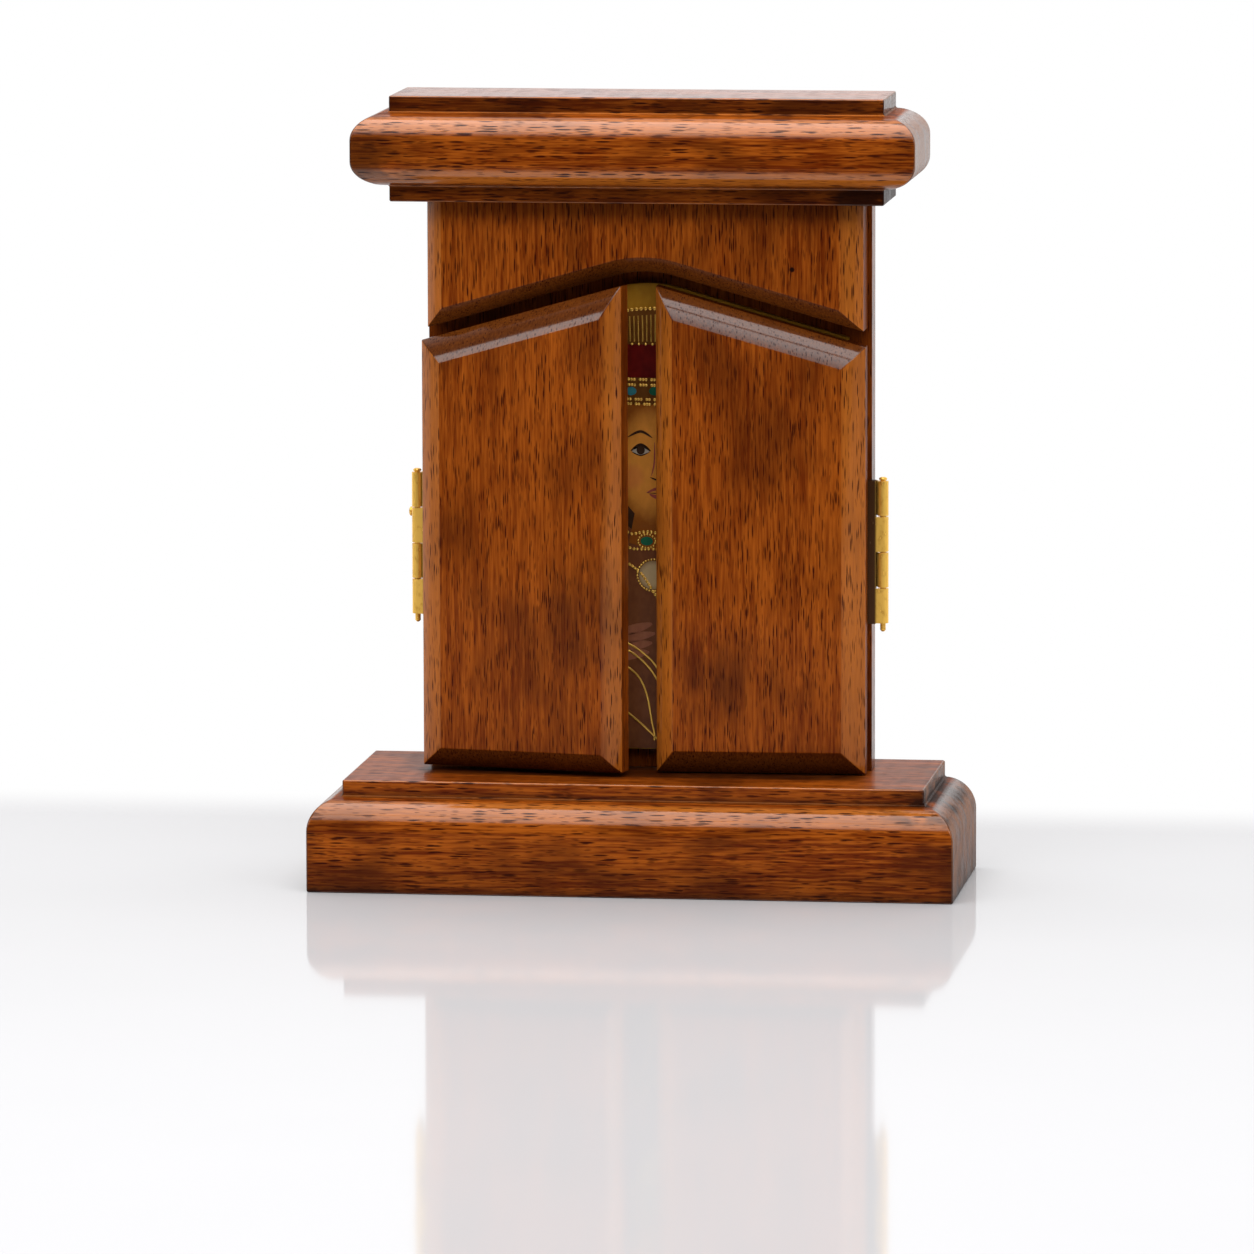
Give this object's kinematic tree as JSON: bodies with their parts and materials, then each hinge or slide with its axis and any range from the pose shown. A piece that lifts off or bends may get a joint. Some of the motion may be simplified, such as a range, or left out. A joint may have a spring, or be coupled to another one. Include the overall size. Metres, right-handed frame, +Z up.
{
  "type": "icon triptych",
  "caption": "Standing wooden icon case with a moulded base and cornice, and two hinged gable-topped doors that close in front of a painted panel.",
  "frame": {"origin": "middle of the base's underside", "axes": "+Z up, -Y the front with the doors, +X to the viewer's right"},
  "size_m": [0.1752, 0.0646, 0.214],
  "materials": {
    "stained_beech": "glossy orange-brown stain and varnish",
    "inner_beech": "darker stain under varnish",
    "brass": "bright rolled brass",
    "painted_panel": "paint and gold colour under satin varnish"
  },
  "bodies": {
    "case": {"base": "stained_beech", "back_board": "inner_beech", "upper_panel": "stained_beech", "cornice": "stained_beech", "icon_panel": "painted_panel", "side_nail": "brass", "hinge_left_case_leaf": "brass", "hinge_left_case_screw_1": "brass", "hinge_left_case_screw_2": "brass", "hinge_left_pin": "brass", "hinge_right_case_leaf": "brass", "hinge_right_case_screw_1": "brass", "hinge_right_case_screw_2": "brass", "hinge_right_pin": "brass"},
    "left_door": {"door_left": "stained_beech", "hinge_left_door_leaf": "brass", "hinge_left_door_screw_1": "brass", "hinge_left_door_screw_2": "brass"},
    "right_door": {"door_right": "stained_beech", "hinge_right_door_leaf": "brass", "hinge_right_door_screw_1": "brass", "hinge_right_door_screw_2": "brass"}
  },
  "joints": [
    {"name": "left_door_hinge", "type": "hinge", "parent": "case", "child": "left_door", "pos_m": [-0.0629, 0.00765, 0.0906], "axis": [0, 0, -1], "range_deg": [-10.4, 169.6]},
    {"name": "right_door_hinge", "type": "hinge", "parent": "case", "child": "right_door", "pos_m": [0.0645, 0.00765, 0.0898], "axis": [0, 0, 1], "range_deg": [-1.5, 178.5]}
  ]
}
